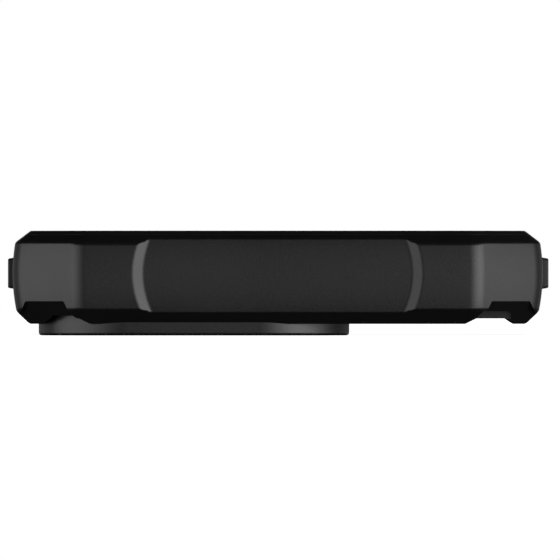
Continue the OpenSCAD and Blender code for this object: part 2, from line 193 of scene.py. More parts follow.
def fillet(points, radii, n=5):
    """A closed outline with each corner rounded to its radius; 0 leaves it sharp."""
    out = []
    for i, (p, r) in enumerate(zip(points, radii)):
        p = np.array(p, float)
        before = np.array(points[i - 1], float) - p
        after = np.array(points[(i + 1) % len(points)], float) - p
        if r == 0:
            out.append(tuple(p))
            continue
        u, v = before / np.linalg.norm(before), after / np.linalg.norm(after)
        half = math.acos(np.clip(u @ v, -1, 1)) / 2
        centre = p + (u + v) / np.linalg.norm(u + v) * r / math.sin(half)
        reach = r / math.tan(half)
        start, end = p + u * reach - centre, p + v * reach - centre
        sweep = math.pi - 2 * half
        for k in range(n + 1):
            t = k / n
            w0 = math.sin((1 - t) * sweep) / math.sin(sweep)
            w1 = math.sin(t * sweep) / math.sin(sweep)
            out.append(tuple(centre + start * w0 + end * w1))
    return out


def smooth_max(a, b, k):
    """The larger of two values, with the change from one to the other rounded over k."""
    h = np.clip(0.5 + 0.5 * (a - b) / k, 0, 1)
    return b + (a - b) * h + k * h * (1 - h)


def smooth_min(a, b, k):
    """The smaller of two values, rounded in the same way."""
    return -smooth_max(-a, -b, k)


def bow(z):
    """How far the bulging wall stands in from its widest line at height z."""
    return BOW * (z - Z_MID) ** 2


def wall_inset(z, kind):
    """How far the wall stands in at height z, its chamfers included."""
    over = bow(kind["hi"]) + (z - kind["hi"]) * kind["run_hi"]
    under = bow(kind["lo"]) + (kind["lo"] - z) * kind["run_lo"]
    return smooth_max(smooth_max(bow(z), over, EDGE_SOFT), under, EDGE_SOFT)


def run_stations(z, start, stop, band):
    """Places along a straight run of wall, close together where the sunk band begins and ends."""
    near = np.array([-0.5, -0.34, -0.22, -0.11, 0, 0.11, 0.22, 0.34, 0.5])
    outer_steps, band_steps = 8, 14
    edge, floor = band["run"] * bow(z), band["run"] * (bow(z) + band["depth"])
    low = np.concatenate([band["from"] + edge + near, band["from"] + floor + near])
    high = np.concatenate([band["to"] - floor + near, band["to"] - edge + near])
    return np.concatenate([
        np.linspace(start, low[0], outer_steps)[1:-1], low,
        np.linspace(low[-1], high[0], band_steps)[1:-1], high,
        np.linspace(high[-1], stop, outer_steps)[1:-1]])


def banded(z, u, inset, band):
    """The wall's inset at each station, with the sunk band cut in."""
    slope = smooth_min((u - band["from"]) / band["run"], (band["to"] - u) / band["run"], BAND_SOFT)
    return smooth_max(inset, smooth_min(bow(z) + band["depth"], slope, BAND_SOFT), BAND_SOFT)


def corner_arc(vx, vy, from_deg, r, n=8):
    """Rounds the outline's vertex at one edge of a facet."""
    a0, a1 = math.radians(from_deg), math.radians(from_deg + FACET_DEG)
    k = r / (1 + math.cos(a1 - a0))
    cx = vx - (math.cos(a0) + math.cos(a1)) * k
    cy = vy - (math.sin(a0) + math.sin(a1)) * k
    return [(cx + r * math.cos(a0 + (a1 - a0) * i / n),
             cy + r * math.sin(a0 + (a1 - a0) * i / n)) for i in range(n + 1)]


def body_ring(z, extra):
    """The body's outline at height z, a further extra inside."""
    side = wall_inset(z, SIDE) + extra
    end = wall_inset(z, END) + extra
    facet = HALF_W + HALF_L - FACET_LEG - math.sqrt(2) * (wall_inset(z, FACET) + extra)
    x, y = HALF_W - side, HALF_L - end
    on_side, on_end = facet - x, facet - y
    trim = {wall: r * math.tan(math.radians(FACET_DEG / 2)) for wall, r in FACET_R.items()}
    half_side, half_end = on_side - trim["side"], on_end - trim["end"]

    def corner(first, second, from_deg):
        """One facet: its two rounded edges, and three points between them."""
        near, far = ("side", "end") if from_deg in (0, 180) else ("end", "side")
        one = corner_arc(*first, from_deg, FACET_R[near])
        two = corner_arc(*second, from_deg + FACET_DEG, FACET_R[far])
        start, stop = np.array(one[-1]), np.array(two[0])
        return one + [tuple(start + (stop - start) * t) for t in (0.25, 0.5, 0.75)] + two

    def run(half, inset, band, place):
        """One straight wall with its sunk band."""
        along = run_stations(z, -half, half, band)
        return [place(u, depth) for u, depth in zip(along, banded(z, along, inset, band))]

    flipped = {**SIDE_BAND, "from": -SIDE_BAND["to"], "to": -SIDE_BAND["from"]}
    points = run(half_side, side, SIDE_BAND, lambda u, depth: (HALF_W - depth, u))
    points += corner((x, on_side), (on_end, y), 0)
    points += run(half_end, end, END_BAND, lambda u, depth: (-u, HALF_L - depth))
    points += corner((-on_end, y), (-x, on_side), 90)
    points += run(half_side, side, flipped, lambda u, depth: (depth - HALF_W, -u))
    points += corner((-x, -on_side), (-on_end, -y), 180)
    points += run(half_end, end, END_BAND, lambda u, depth: (u, depth - HALF_L))
    points += corner((on_end, -y), (x, -on_side), 270)
    return [(px, py, z) for px, py in points]


# ---- Solids --------------------------------------------------------------------------------


def mesh_object(name, points, faces):
    """A mesh from points in millimetres, with its normals outwards."""
    mesh = bpy.data.meshes.new(name)
    mesh.from_pydata([tuple(float(c) * MM for c in p) for p in points], [], faces)
    bm = bmesh.new()
    bm.from_mesh(mesh)
    bmesh.ops.recalc_face_normals(bm, faces=bm.faces)
    bm.to_mesh(mesh)
    bm.free()
    obj = bpy.data.objects.new(name, mesh)
    bpy.context.scene.collection.objects.link(obj)
    return obj


def loft(name, rings, closed=False):
    """A solid through rings of equal length, capped at both ends or closed on itself."""
    n, count = len(rings[0]), len(rings)
    points = [p for ring in rings for p in ring]
    spans = range(count if closed else count - 1)
    faces = [(k * n + i, k * n + (i + 1) % n, (k + 1) % count * n + (i + 1) % n, (k + 1) % count * n + i)
             for k in spans for i in range(n)]
    if not closed:
        faces += [tuple(range(n)), tuple(range((count - 1) * n, count * n))]
    return mesh_object(name, points, faces)


def placed(outline, w, axis):
    """An outline put at w along an axis: its two coordinates are the other two, in X, Y, Z order."""
    if axis == "x":
        return [(w, u, v) for u, v in outline]
    if axis == "y":
        return [(u, w, v) for u, v in outline]
    return [(u, v, w) for u, v in outline]


def prism(outline, lo, hi, axis="z", name="cutter"):
    """A straight solid with this outline, from lo to hi along an axis."""
    return loft(name, [placed(outline, lo, axis), placed(outline, hi, axis)])


def side_prism(outline, sign, inner, outer):
    """A prism across one long side, between two distances from the middle."""
    return prism(outline, *sorted((sign * inner, sign * outer)), "x")


def turned(obj, degrees):
    """The object turned about Z, in its mesh."""
    obj.data.transform(Matrix.Rotation(math.radians(degrees), 4, "Z"))
    return obj


def mirrored(obj, sx, sy):
    """A copy, mirrored in X or Y where its sign is -1, with its normals still outwards."""
    copy = obj.copy()
    copy.data = obj.data.copy()
    bpy.context.scene.collection.objects.link(copy)
    copy.data.transform(Matrix.Diagonal((sx, sy, 1, 1)))
    if sx * sy < 0:
        copy.data.flip_normals()
    return copy


def apply_modifiers(obj):
    """Gives the object the mesh that its modifiers make."""
    graph = bpy.context.evaluated_depsgraph_get()
    mesh = bpy.data.meshes.new_from_object(obj.evaluated_get(graph))
    obj.modifiers.clear()
    obj.data = mesh


def boolean(obj, others, operation="DIFFERENCE"):
    """Cuts the others from obj, or joins or intersects them, and removes them."""
    for other in others:
        step = obj.modifiers.new("step", "BOOLEAN")
        step.operation, step.solver, step.object = operation, "MANIFOLD", other
    apply_modifiers(obj)
    for other in others:
        bpy.data.objects.remove(other)
    return obj


def finish_piece(obj, body, material, nodes, smooth_deg=32):
    """Shades a piece, gives it its material and puts it on its CAD body in place of CAD nodes."""
    obj.data.materials.clear()
    obj.data.materials.append(material)
    obj.data.polygons.foreach_set("use_smooth", [True] * len(obj.data.polygons))
    obj.data.set_sharp_from_angle(angle=math.radians(smooth_deg))
    weights = obj.modifiers.new("normals", "WEIGHTED_NORMAL")
    weights.keep_sharp = True
    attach(obj, body)
    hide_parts(*nodes)


# ---- Materials -----------------------------------------------------------------------------

# A material's level is its linear reflectance, and a size in _mm is in millimetres


class Nodes:
    """A material's node tree, with short calls to add and link nodes."""

    def __init__(self, name):
        self.material = bpy.data.materials.new(name)
        self.material.use_nodes = True
        self.tree = self.material.node_tree
        self.shader = self.tree.nodes["Principled BSDF"]
        self.where = self.add("ShaderNodeTexCoord").outputs["Object"]

    def add(self, kind, **inputs):
        """A node with these inputs, their names with _ for a space."""
        node = self.tree.nodes.new(kind)
        for key, value in inputs.items():
            self.put(node.inputs[key.replace("_", " ")], value)
        return node

    def put(self, socket, value):
        """Sets a socket to a value, or links another node's output to it."""
        if isinstance(value, bpy.types.NodeSocket):
            self.tree.links.new(value, socket)
        else:
            socket.default_value = value

    def noise(self, size_mm, detail=3.0, vector=None, **inputs):
        """Noise with features of about this size."""
        node = self.add("ShaderNodeTexNoise", Scale=1 / (size_mm * MM), Detail=detail, **inputs)
        self.put(node.inputs["Vector"], vector or self.where)
        return node.outputs["Fac"]

    def ramp(self, value, lo, hi, out_lo, out_hi):
        """A value's range from lo to hi, spread over another range and held at its ends."""
        node = self.add("ShaderNodeMapRange", Value=value, From_Min=lo, From_Max=hi, To_Min=out_lo,
                        To_Max=out_hi)
        return node.outputs["Result"]

    def math(self, operation, a, b=0.0):
        """Two values put together by an operation."""
        node = self.tree.nodes.new("ShaderNodeMath")
        node.operation = operation
        self.put(node.inputs[0], a)
        self.put(node.inputs[1], b)
        return node.outputs[0]

    def mix(self, factor, a, b):
        """Colour a at factor 0, and b at 1."""
        node = self.tree.nodes.new("ShaderNodeMix")
        node.data_type = "RGBA"
        self.put(node.inputs["Factor"], factor)
        self.put(node.inputs["A"], a)
        self.put(node.inputs["B"], b)
        return node.outputs["Result"]

    def bump(self, height, depth_mm, normal=None):
        """The normal of a relief this deep."""
        node = self.add("ShaderNodeBump", Height=height, Strength=1.0, Distance=depth_mm * MM)
        if normal:
            self.put(node.inputs["Normal"], normal)
        return node.outputs["Normal"]

    def soft_edges(self, radius_mm):
        """The normal, rounded over this radius at edges."""
        node = self.add("ShaderNodeBevel", Radius=radius_mm * MM)
        node.samples = 6
        return node.outputs["Normal"]

    def wear(self, radius_mm, patch_mm=4.0):
        """1 along edges that hands rub, 0 elsewhere, in uneven patches."""
        turn = self.tree.nodes.new("ShaderNodeVectorMath")
        turn.operation = "DOT_PRODUCT"
        self.put(turn.inputs[0], self.soft_edges(radius_mm))
        self.put(turn.inputs[1], self.add("ShaderNodeNewGeometry").outputs["Normal"])
        edge = self.ramp(turn.outputs["Value"], 0.99, 0.85, 0, 1)
        return self.math("MULTIPLY", edge, self.ramp(self.noise(patch_mm, 4.0), 0.38, 0.62, 0.1, 1))

    def set(self, **inputs):
        """Sets the shader's own inputs, and gives the material."""
        for key, value in inputs.items():
            self.put(self.shader.inputs[key.replace("_", " ")], value)
        return self.material


def grey(level, tint=1.03):
    """A grey of this level, with its blue raised by a tint."""
    return (level, level, level * tint, 1.0)


def textured_plastic(name, level, rough, grain_mm=0.28, depth_mm=0.012, edge_mm=0.12):
    """Spark-eroded plastic: a fine grain, a slower cloudiness in its gloss, edges polished by hands."""
    n = Nodes(name)
    grain = n.noise(grain_mm, 2.0, Roughness=0.6)
    cloud = n.noise(9.0, 3.0)
    worn = n.wear(2.5 * edge_mm)
    colour = n.mix(n.ramp(grain, 0.35, 0.65, 0, 1), grey(level * 0.82), grey(level * 1.18))
    colour = n.mix(n.math("MULTIPLY", worn, 0.7), colour, grey(level * 2.0))
    roughness = n.math("ADD", n.ramp(cloud, 0.3, 0.7, rough - 0.03, rough + 0.03),
                       n.ramp(grain, 0.3, 0.7, -0.02, 0.02))
    roughness = n.math("SUBTRACT", roughness, n.math("MULTIPLY", worn, 0.05))
    normal = n.bump(grain, depth_mm, normal=n.soft_edges(edge_mm))
    return n.set(Base_Color=colour, Roughness=roughness, Normal=normal, IOR=1.5)


def soft_rubber(name, level, rough, edge_mm=0.15):
    """Satin elastomer with a faint orange peel, a dusting of finer specks, and paler edges."""
    n = Nodes(name)
    peel = n.noise(0.9, 2.0)
    speck = n.noise(0.12, 1.0)
    worn = n.wear(2 * edge_mm, 3.0)
    colour = n.mix(n.ramp(speck, 0.4, 0.75, 0, 1), grey(level), grey(level * 1.5))
    colour = n.mix(n.math("MULTIPLY", worn, 0.6), colour, grey(level * 2.2))
    roughness = n.ramp(peel, 0.3, 0.7, rough - 0.04, rough + 0.05)
    roughness = n.math("ADD", roughness, n.math("MULTIPLY", worn, 0.04))
    height = n.math("ADD", n.math("MULTIPLY", peel, 0.7), n.math("MULTIPLY", speck, 0.3))
    normal = n.bump(height, 0.01, normal=n.soft_edges(edge_mm))
    return n.set(Base_Color=colour, Roughness=roughness, Normal=normal, IOR=1.48)


def microfibre(name, level):
    """Napped microfibre: short tangled fibres, and a nap that was stroked different ways."""
    n = Nodes(name)
    stretch = n.add("ShaderNodeMapping", Vector=n.where, Scale=(1.0, 0.35, 1.0)).outputs["Vector"]
    fibre = n.noise(0.16, 3.0, vector=stretch, Roughness=0.7, Distortion=1.5)
    nap = n.noise(14.0, 3.0, Distortion=0.8)
    fleck = n.ramp(fibre, 0.3, 0.7, 0, 1)
    colour = n.mix(fleck, grey(level * 0.7, 1.08), grey(level * 1.3, 1.08))
    colour = n.mix(n.ramp(nap, 0.4, 0.62, 0, 0.45), colour, grey(level * 1.5, 1.08))
    n.set(Sheen_Weight=0.35, Sheen_Roughness=0.45)
    roughness = n.ramp(nap, 0.3, 0.7, 0.82, 0.95)
    return n.set(Base_Color=colour, Roughness=roughness, Normal=n.bump(fibre, 0.05))


def nickel_plate(name):
    """Nickel-plated magnet: bright metal with fine tumbling marks and duller patches."""
    n = Nodes(name)
    mark = n.noise(0.5, 4.0, Distortion=2.0)
    patch = n.noise(5.0, 2.0)
    colour = n.mix(n.ramp(patch, 0.4, 0.65, 0, 1), (0.62, 0.61, 0.58, 1), (0.50, 0.49, 0.46, 1))
    roughness = n.math("ADD", n.ramp(mark, 0.3, 0.7, 0.2, 0.32), n.ramp(patch, 0.4, 0.7, 0, 0.12))
    normal = n.bump(mark, 0.004, normal=n.soft_edges(0.12))
    return n.set(Base_Color=colour, Metallic=1.0, Roughness=roughness, Normal=normal)


# ---- The armour shell ----------------------------------------------------------------------


def wall_levels():
    """Heights of the wall's rings, close together where it turns into its chamfers."""
    turn_step = 0.09
    foot = Z_FOOT + np.array([0, 0.02, 0.06, 0.13, 0.25, 0.5, 0.8, 1.1, 1.4])
    turn_low = np.arange(Z_FOOT + 1.5, Z_FOOT + 2.75, turn_step)
    middle = np.linspace(Z_FOOT + 2.9, END["hi"] - 0.5, 17)
    turn_high = np.arange(END["hi"] - 0.38, Z_SEAM - 0.2, turn_step)
    seam = Z_SEAM - np.array([1.0, 0.5, 0.2, 0.0]) * SEAM_BREAK
    return np.concatenate([foot, turn_low, middle, turn_high, seam])


def edge_breaks(z):
    """Extra inset at height z, which rounds the chamfer into the back and breaks the seam's edge."""
    foot = np.clip((Z_FOOT + FOOT_SOFT["height"] - z) / FOOT_SOFT["height"], 0, 1)
    seam = np.clip((z - Z_SEAM + SEAM_BREAK) / SEAM_BREAK, 0, 1)
    return FOOT_SOFT["inset"] * foot ** 2 + SEAM_BREAK * seam ** 2


def channel_cutters():
    """The channels between bar and rail, with rounded lips and feet. The rails splay outwards."""
    top, below = Z_FOOT - SKIM, Z_FOOT - PAST
    bar_lip, rail_lip = BAR_H - 1.3, RAIL_H + 1.0
    near = fillet([(bar_lip, below), (bar_lip, top), (BAR_H, top), (BAR_FOOT, Z_BASE), (RAIL_FOOT, Z_BASE),
                   (RAIL_H, top), (rail_lip, top), (rail_lip, below)], [0, 0, 0.8, 0.5, 0.4, 0.6, 0, 0])
    middle = (BAR_FOOT + RAIL_FOOT) / 2
    far = [(x + (RAIL_SPLAY if x > middle else 0), height) for x, height in near]
    channel = loft("cutter", [placed(near, -HALF_L - PAST, "y"), placed(far, HALF_L + PAST, "y")])
    return [channel, mirrored(channel, -1, 1)]


def field_cutter():
    """The sunk middle of the back, between the end bars. It reaches into both channels."""
    top, below = Z_FOOT - SKIM, Z_FOOT - PAST
    foot, lip = BAR_IN - BAR_SLOPE, BAR_IN + 1.3
    outline = fillet([(-lip, below), (-lip, top), (-BAR_IN, top), (-foot, Z_BASE), (foot, Z_BASE),
                      (BAR_IN, top), (lip, top), (lip, below)], [0, 0, 0.6, 0.4, 0.4, 0.6, 0, 0])
    reach = RAIL_FOOT - 3.2
    return prism(outline, -reach, reach, "x")


def corner_notch():
    """The notch under one corner facet: cut from the end, as far in as a slope under the facet."""
    below, length = Z_FOOT - PAST, 20
    bar_top, bar_knee, side_knee = HALF_W - 7.74, HALF_W - 8.35, HALF_W - 1.4
    mouth = fillet(
        [(HALF_W - 2, Z_NOTCH), (bar_top, Z_NOTCH), (bar_knee, FACET["lo"]), (BAR_FOOT, Z_BASE),
         (BAR_H, Z_FOOT), (BAR_H - 0.6, below), (HALF_W + 0.2, below), (side_knee, FACET["lo"])],
        [0.3, 0.3, 0.4, 0, 0, 0, 0, 0.4])
    notch = prism(mouth, HALF_L - length, HALF_L + PAST, "y")
    facet_d = (HALF_W + HALF_L - FACET_LEG) / math.sqrt(2) - bow(Z_NOTCH)
    run, over, facet_reach = Z_NOTCH - below, 3, 60
    slope = [(facet_d + over, Z_NOTCH + over), (facet_d - run, below), (facet_d + over, below)]
    boolean(notch, [turned(prism(slope, -facet_reach, 0, "x"), -45)], "INTERSECT")
    return notch


def notch_cutters():
    """Four notches. Inside three, the channel is deeper as far as a low wall. Inside the guard's, it
    is a shallow gate."""
    deep_length, gate_length = 9.5, 16
    deep_out, deep_low = RAIL_FOOT + 1, Z_BASE - 0.01
    deep = fillet([(HALF_W - 8.9, Z_DEEP), (BAR_FOOT, deep_low), (deep_out, deep_low), (deep_out, Z_DEEP)],
                  [0.3, 0, 0, 0.5])
    gate_out, gate_low = RAIL_FOOT - 0.15, Z_BASE - 0.2
    gate = fillet([(BAR_FOOT, gate_low), (HALF_W - 9.05, Z_GATE), (gate_out, Z_GATE), (gate_out, gate_low)],
                  [0, 0.3, 0.25, 0])
    gate_outline = [(-x, height) for x, height in gate]
    notch = corner_notch()
    cuts = [prism(gate_outline, -HALF_L - PAST, gate_length - HALF_L, "y"), mirrored(notch, -1, -1)]
    boolean(notch, [prism(deep, HALF_L - deep_length, HALF_L + PAST, "y")], "UNION")
    cuts += [mirrored(notch, sx, sy) for sx, sy in ((1, 1), (1, -1), (-1, 1))]
    bpy.data.objects.remove(notch)
    return cuts


def guard_ring(grow):
    """The camera guard's outline, grown outwards."""
    return round_rect(GUARD_H[0] + grow, GUARD_H[1] + grow, GUARD_R + grow, 24, GUARD_C)


def guard_solid(name, profile, closed=False):
    """A solid through the guard's outline at each step of a profile of (growth, height)."""
    return loft(name, [placed(guard_ring(grow), z, "z") for grow, z in profile], closed)


def button_place(node):
    """Centre along Y and half length of a button's cap, without its flange."""
    centre, half = middle_mm(node)
    return centre[1], half[1] - FLANGE["y"]


def window_cutters(grow, inner, outer, corner):
    """A prism through the wall at each button, this much larger than its cap."""
    cuts = []
    for node, (_, sign) in BUTTONS.items():
        y, half = button_place(node)
        outline = round_rect(half + grow, CAP_H / 2 + grow, corner, 6, (y, CAP_Z))
        cuts.append(side_prism(outline, sign, inner, outer))
    return cuts


def end_opening_cutters(inner):
    """The port opening and the sound slots in the +Y end."""
    cuts = [prism(round_rect(*PORT, 10, (0, CAP_Z)), inner, HALF_L + PAST, "y")]
    for s in (-1, 1):
        for i in range(SLOT_COUNT):
            outline = round_rect(*SLOT, 6, (s * (SLOT_FIRST + SLOT_PITCH * i), CAP_Z))
            cuts.append(prism(outline, inner, HALF_L + PAST, "y"))
    return cuts


def seat_cutters():
    """The step round the port, and the seats of the side grips and the skid pads."""
    behind_grip = 0.02
    step_in = HALF_L - END_BAND["depth"] - PORT_STEP_DEPTH
    seats = [prism(round_rect(*PORT_STEP, 12, (0, CAP_Z)), step_in, HALF_L + PAST, "y")]
    for node in GRIPS:
        centre, half = middle_mm(node)
        outline = round_rect(half[1] + INLAY_GAP, half[2] + INLAY_GAP, GRIP_R + INLAY_GAP, 6, centre[1:])
        inner = abs(centre[0]) - half[0] - behind_grip
        seats.append(side_prism(outline, math.copysign(1, centre[0]), inner, HALF_W + PAST))
    for node in PADS:
        lo, hi = box_mm(node)
        centre, half = middle_mm(node)
        outline = round_rect(half[0] + INLAY_GAP, half[1] + INLAY_GAP, PAD_R + INLAY_GAP, 6, centre)
        seats.append(prism(outline, Z_FOOT - PAST, hi[2]))
    return seats


def make_armor(material):
    """The hard shell: walls, facets and back, cut for the core, the inlays and every opening."""
    shell = loft("armor_shell_skin", [body_ring(z, edge_breaks(z)) for z in wall_levels()])
    panel_seat = round_rect(PANEL_HI[0] + PANEL_GAP, PANEL_HI[1] + PANEL_GAP, PANEL_R + PANEL_GAP, 12)
    below_field = Z_BASE - 0.5
    cuts = [prism(round_rect(CORE_W, CORE_L, CORE_R, 20), Z_CORE, Z_TOP + PAST)]
    cuts += channel_cutters()
    cuts.append(field_cutter())
    cuts += notch_cutters()
    cuts.append(prism(guard_ring(GUARD_GAP), -PAST, GUARD_SEAT_Z))
    cuts.append(prism(guard_ring(SPIGOT_T - GUARD_WALL + SPIGOT_GAP), -PAST, Z_CORE + PAST))
    cuts.append(prism(panel_seat, below_field, PANEL_HI[2]))
    cuts += window_cutters(WINDOW["grow"], CORE_W - PAST, HALF_W + PAST, WINDOW["corner"])
    surround_in = HALF_W - SURROUND["depth"]
    cuts += window_cutters(SURROUND["grow"], surround_in, HALF_W + PAST, SURROUND["corner"])
    cuts += end_opening_cutters(CORE_L - PAST)
    boolean(shell, cuts)
    boolean(shell, seat_cutters())
    finish_piece(shell, "case", material, ["armor_shell"])


# ---- The soft core -------------------------------------------------------------------------


def pocket_rings():
    """Rings of the pocket's hollow, from its floor up past the rim's rounded lip."""
    floor_r, top_r, under_r, lip_r = 0.7, 0.3, 0.35, 0.6
    lip = Z_TOP + SKIM
    five, six = (np.radians(np.linspace(0, 90, n)) for n in (5, 6))
    # The floor's cove, the wall's top, the rim's underside and its lip, as (inset, height)
    steps = [(floor_r * (1 - math.sin(a)), Z_LINING + floor_r * (1 - math.cos(a))) for a in six]
    steps += [(top_r * (1 - math.cos(a)), Z_LIP - top_r + top_r * math.sin(a)) for a in five]
    steps += [(RIM_REACH - under_r * (1 - math.sin(a)), Z_LIP + under_r * (1 - math.cos(a))) for a in five]
    steps += [(RIM_REACH - lip_r * (1 - math.cos(a)), lip - lip_r + lip_r * math.sin(a)) for a in six]
    steps.append((RIM_REACH - lip_r, Z_TOP + PAST))
    return [placed(round_rect(POCKET_W - i, POCKET_L - i, POCKET_R - i, 20), z, "z") for i, z in steps]


def corner_groove_cutters():
    """Shallow upright grooves that soften the core's inner corners."""
    count, step_deg, groove_r, outside = 9, 9, 0.45, 0.1
    middle = Vector((POCKET_W - POCKET_R, POCKET_L - POCKET_R))
    cuts = []
    for i in range(count):
        a = math.radians(step_deg + step_deg * i)
        centre = middle + Vector((math.cos(a), math.sin(a))) * (POCKET_R + outside)
        outline = [(centre.x + groove_r * math.cos(t), centre.y + groove_r * math.sin(t))
                   for t in np.linspace(0, 2 * math.pi, 13)[:-1]]
        cuts.append(prism(outline, Z_SEAT + 1.2, Z_LIP - 1.4))
    whole = cuts[0]
    boolean(whole, cuts[1:], "UNION")
    four = [mirrored(whole, sx, sy) for sx in (1, -1) for sy in (1, -1)]
    bpy.data.objects.remove(whole)
    return four


def membrane_cutters():
    """Behind each button, the seat of its flange and the slot of its plunger."""
    gap = 0.25
    cuts = []
    for node, (_, sign) in BUTTONS.items():
        y, half = button_place(node)
        seat = round_rect(half + FLANGE["y"] + gap, CAP_H / 2 + FLANGE["z"] + gap, 1, 3, (y, CAP_Z))
        cuts.append(side_prism(seat, sign, CORE_W - 1, CORE_W + PAST))
        slot = round_rect(half - PLUNGER_IN + gap, CAP_H / 2 - PLUNGER_IN + gap, 0.8, 6, (y, CAP_Z))
        cuts.append(side_prism(slot, sign, POCKET_W - PAST, CORE_W))
    return cuts


def rim_split():
    """The space of the core's band: all that lies outside a line near the rim's outer edge."""
    band_width, below_seam, over = 0.4, 0.005, 2.0
    outer = [point[:2] for point in body_ring(Z_SEAM, -over)]
    inner = [point[:2] for point in body_ring(Z_TOP, band_width)]
    split = prism(outer, Z_SEAM - below_seam, Z_TOP + PAST)
    return boolean(split, [prism(inner, Z_SEAM - PAST, Z_TOP + 2 * PAST)])


def make_core(material):
    """The tub with its rim, as two pieces of one moulding that meet without a gap."""
    gap, into_rim = 0.01, 0.1
    core = prism(round_rect(CORE_W - gap, CORE_L - gap, CORE_R, 20), Z_CORE + gap, Z_SEAM + into_rim,
                 name="core_liner_skin")
    rise = np.array([0.0, 0.1, 0.2, 0.3, 0.38, 0.45, 0.5, 0.55, 0.58, 0.6])
    crown_from, crown_inset = 0.45, 0.09
    crown = crown_inset * np.clip((rise - crown_from) / (rise[-1] - crown_from), 0, 1) ** 2
    boolean(core, [loft("rim", [body_ring(Z_SEAM + r, c) for r, c in zip(rise, crown)])], "UNION")
    camera_hole = guard_ring(CAMERA_HOLE - GUARD_WALL)
    cuts = [loft("pocket", pocket_rings()), prism(camera_hole, Z_CORE - PAST, Z_LINING + PAST)]
    cuts += corner_groove_cutters()
    cuts += membrane_cutters()
    cuts += end_opening_cutters(POCKET_L - PAST)
    boolean(core, cuts)
    split = rim_split()
    band = mirrored(core, 1, 1)
    band.name = "core_liner_band"
    boolean(band, [mirrored(split, 1, 1)], "INTERSECT")
    boolean(core, [split])
    for piece in (core, band):
        finish_piece(piece, "case", material, ["core_liner"])


# ---- The guard, the panel and the lining ---------------------------------------------------


def arc_profile(cx, cz, r, from_deg, to_deg, n=5):
    """Points of an arc in a profile of (growth, height)."""
    return [(cx + r * math.cos(math.radians(a)), cz + r * math.sin(math.radians(a)))
            for a in np.linspace(from_deg, to_deg, n + 1)]


def make_guard(material):
    """The ring round the camera opening, with its spigot through the core's floor."""
    gap, edge_r, bore_r, step_r, step_z = 0.02, 0.5, 0.25, 0.15, 0.9
    bore = -GUARD_WALL
    mouth, spigot = bore + 0.6, bore + SPIGOT_T - gap
    shoulder, top = GUARD_SEAT_Z - 0.01, Z_CORE - 0.02
    profile = [(-gap, shoulder)] + arc_profile(-gap - edge_r, edge_r, edge_r, 0, -90, 8)
    profile += arc_profile(mouth + bore_r, bore_r, bore_r, 270, 180)
    profile += [(mouth, 0.82), (mouth + 0.02, step_z)]
    profile += arc_profile(bore + step_r, step_z + step_r, step_r, 270, 180)
    profile += [(bore, Z_CORE - 0.1), (bore + 0.1, top), (spigot, top), (spigot, shoulder)]
    guard = guard_solid("camera_guard_ring", profile, closed=True)
    finish_piece(guard, "case", material, ["camera_guard"])


def soft_slab(name, half, radius, edge, centre=(0.0, 0.0), n=12):
    """A flat piece with round corners, whose edge is a profile of (inset, height)."""
    return loft(name, [placed(round_rect(half[0] - i, half[1] - i, radius - i, n, centre), z, "z")
                       for i, z in edge])


def round_groove(centre, radius, z):
    """Cutter for a shallow round groove with sloped sides, in a face that looks down at height z."""
    mouth, bed, depth, before = 0.22, 0.1, 0.12, 0.1
    profile = [(radius - mouth, z - before), (radius + mouth, z - before), (radius + bed, z + depth),
               (radius - bed, z + depth)]
    angles = np.radians(np.linspace(0, 360, 145)[:-1])
    rings = [[(centre[0] + r * math.cos(a), centre[1] + r * math.sin(a), height) for a in angles]
             for r, height in profile]
    return loft("groove", rings, closed=True)


def make_panel(material):
    """The thin panel in the back, with grooves round the magnets and a soft edge at the guard."""
    lo, hi = PANEL_LO[2], PANEL_HI[2]
    edge = [(0.25, lo), (0.1, lo + 0.04), (0.02, lo + 0.14), (0.0, lo + 0.3), (0.0, hi)]
    panel = soft_slab("back_panel_skin", PANEL_HI, PANEL_R, edge)
    hole = PANEL_HOLE
    guard_edge = [(hole + 0.35, lo - 0.5), (hole + 0.25, lo), (hole + 0.1, lo + 0.05),
                  (hole + 0.02, lo + 0.15), (hole, lo + 0.3), (hole, hi + 0.5)]
    magnets, _ = middle_mm("ring_magnets")
    cuts = [guard_solid("cut", guard_edge)]
    cuts += [round_groove(magnets, radius, lo) for radius in (27.9, 23.1)]
    boolean(panel, cuts)
    finish_piece(panel, "case", material, ["back_panel"])


def make_lining(material):
    """The pocket's lining: a napped sheet with soft edges, embossed with slanted lines."""
    lo, hi = LINING_LO[2], LINING_HI[2]
    edge = [(0, lo), (0, hi - 0.16), (0.03, hi - 0.07), (0.1, hi - 0.02), (0.2, hi)]
    lining = soft_slab("floor_lining_nap", LINING_HI, LINING_R, edge)
    hole = LINING_HOLE - GUARD_WALL
    hole_edge = [(hole, lo - 0.5), (hole, hi - 0.16), (hole + 0.03, hi - 0.07), (hole + 0.1, hi - 0.02),
                 (hole + 0.22, hi + 0.02), (hole + 0.22, hi + 0.5)]
    boolean(lining, [guard_solid("cut", hole_edge)])
    pitch, slant_deg, each_side, reach = 9.0, 30, 12, HALF_L + HALF_W
    above, bed = hi + 0.1, hi - 0.12
    profile = fillet([(-0.45, above), (-0.2, bed), (0.2, bed), (0.45, above)], [0, 0.1, 0.1, 0], 3)
    lines = []
    for i in range(-each_side, each_side + 1):
        outline = [(u + i * pitch, v) for u, v in profile]
        lines.append(turned(prism(outline, -reach, reach, "y"), slant_deg))
    boolean(lining, lines)
    finish_piece(lining, "case", material, ["floor_lining"])


# ---- The buttons, the grips and the pads ---------------------------------------------------


